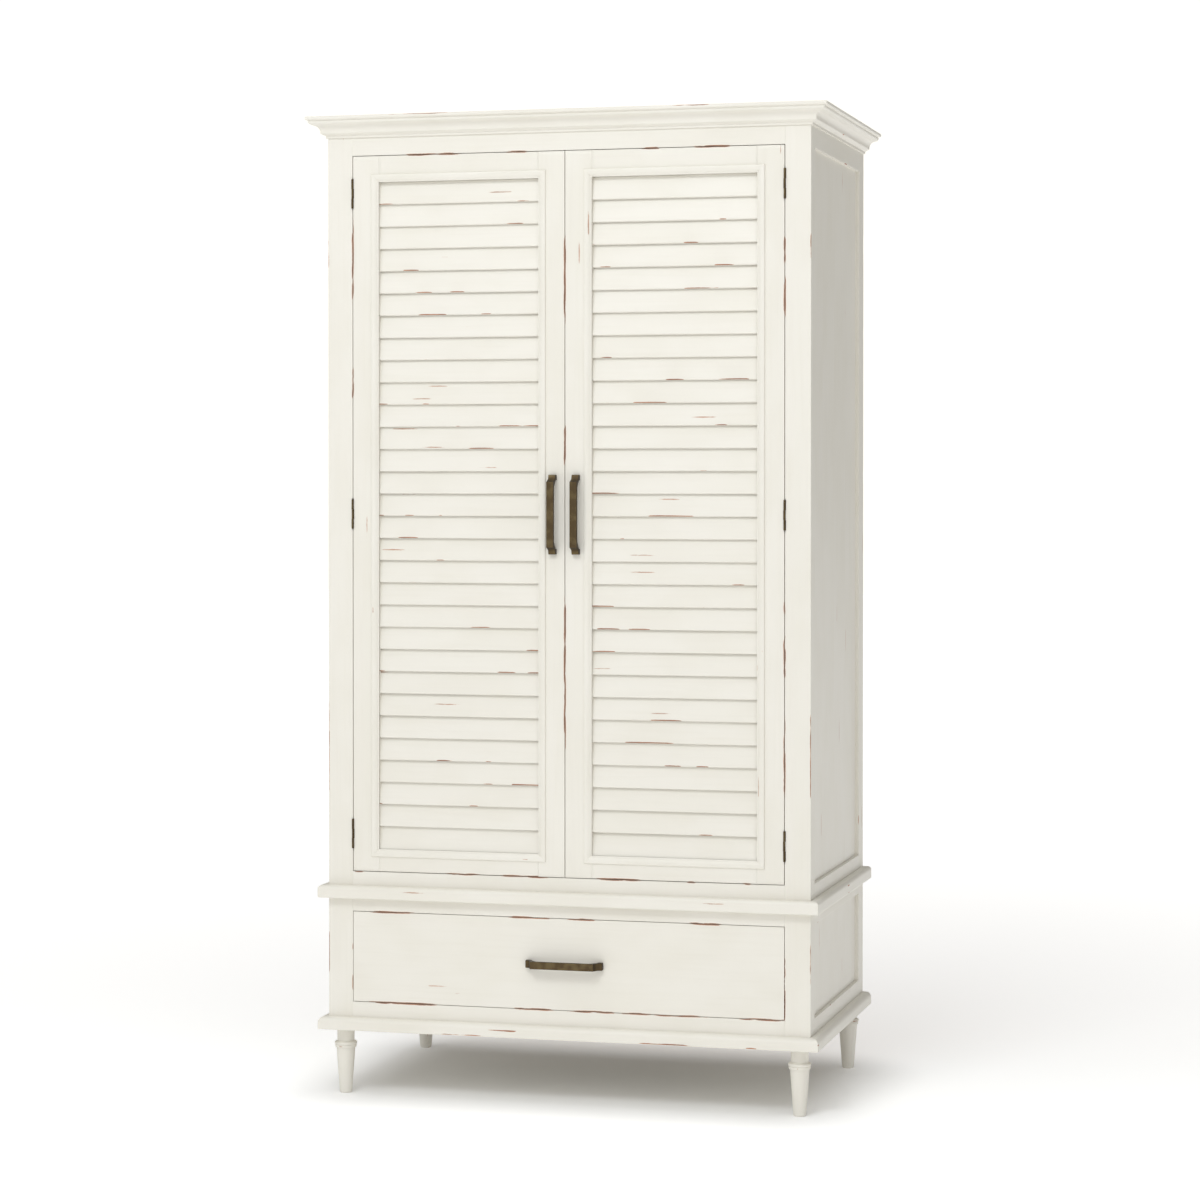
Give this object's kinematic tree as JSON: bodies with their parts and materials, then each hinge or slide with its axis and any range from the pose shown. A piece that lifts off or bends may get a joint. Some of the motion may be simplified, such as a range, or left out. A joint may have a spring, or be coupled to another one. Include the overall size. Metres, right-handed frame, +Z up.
{
  "type": "armoire",
  "caption": "Tall freestanding armoire with two hinged louvred doors over a drawer, stepped crown moulding and turned tapered feet.",
  "frame": {"origin": "on the floor, under the middle of the whole object's bounding box", "axes": "+Z up, +X to the right of a person facing the doors, +Y from the doors to the back"},
  "size_m": [1.162, 0.6686, 2.15],
  "materials": {
    "cream_paint": "cream-white satin paint on wood, rubbed through to reddish wood along the edges",
    "inside_wood": "clear-oiled softwood with visible grain",
    "antique_bronze": "dark antique bronze, worn lighter on its edges",
    "screw_steel": "zinc-plated steel",
    "catch_plastic": "brown moulded plastic"
  },
  "bodies": {
    "carcass": {"base_board": "cream_paint", "left_front_post": "cream_paint", "right_front_post": "cream_paint", "left_back_post": "cream_paint", "right_back_post": "cream_paint", "frieze_rail": "cream_paint", "middle_rail": "cream_paint", "bottom_rail": "cream_paint", "left_side_rails": "cream_paint", "right_side_rails": "cream_paint", "upper_left_side_panel": "cream_paint", "upper_right_side_panel": "cream_paint", "lower_left_side_panel": "cream_paint", "lower_right_side_panel": "cream_paint", "top_board": "cream_paint", "crown_moulding": "cream_paint", "belt_moulding": "cream_paint", "base_moulding": "cream_paint", "front_left_foot": "cream_paint", "front_right_foot": "cream_paint", "back_left_foot": "cream_paint", "back_right_foot": "cream_paint", "door_stop": "cream_paint", "back_rails": "inside_wood", "back_panels": "inside_wood", "wardrobe_floor": "inside_wood", "hat_shelf": "inside_wood", "shelf_cleats": "inside_wood", "hanging_rod": "inside_wood", "drawer_runners": "inside_wood", "drawer_kickers": "inside_wood", "frame_hinge_leaves": "antique_bronze", "hinge_pins": "antique_bronze", "rod_sockets": "antique_bronze", "frame_hinge_screws": "screw_steel", "catch_bodies": "catch_plastic"},
    "left_door": {"left_door_stiles": "cream_paint", "left_door_rails": "cream_paint", "left_door_bead": "cream_paint", "left_door_slats": "cream_paint", "left_door_hinge_leaves": "antique_bronze", "left_door_pull": "antique_bronze", "left_door_hinge_screws": "screw_steel", "left_door_pull_screws": "screw_steel", "left_door_strike_plate": "screw_steel"},
    "right_door": {"right_door_stiles": "cream_paint", "right_door_rails": "cream_paint", "right_door_bead": "cream_paint", "right_door_slats": "cream_paint", "right_door_hinge_leaves": "antique_bronze", "right_door_pull": "antique_bronze", "right_door_hinge_screws": "screw_steel", "right_door_pull_screws": "screw_steel", "right_door_strike_plate": "screw_steel"},
    "drawer": {"drawer_front": "cream_paint", "drawer_sides": "inside_wood", "drawer_back": "inside_wood", "drawer_bottom": "inside_wood", "drawer_pull": "antique_bronze", "drawer_pull_screws": "screw_steel"}
  },
  "joints": [
    {"name": "left_door_hinge", "type": "hinge", "parent": "carcass", "child": "left_door", "pos_m": [-0.48325, -0.29475, 1.2796], "axis": [0, 0, -1], "range_deg": [0, 120]},
    {"name": "right_door_hinge", "type": "hinge", "parent": "carcass", "child": "right_door", "pos_m": [0.48325, -0.29475, 1.2796], "axis": [0, 0, 1], "range_deg": [0, 120]},
    {"name": "drawer_slide", "type": "slide", "parent": "carcass", "child": "drawer", "axis": [0, -1, 0], "range_m": [0, 0.4]}
  ]
}
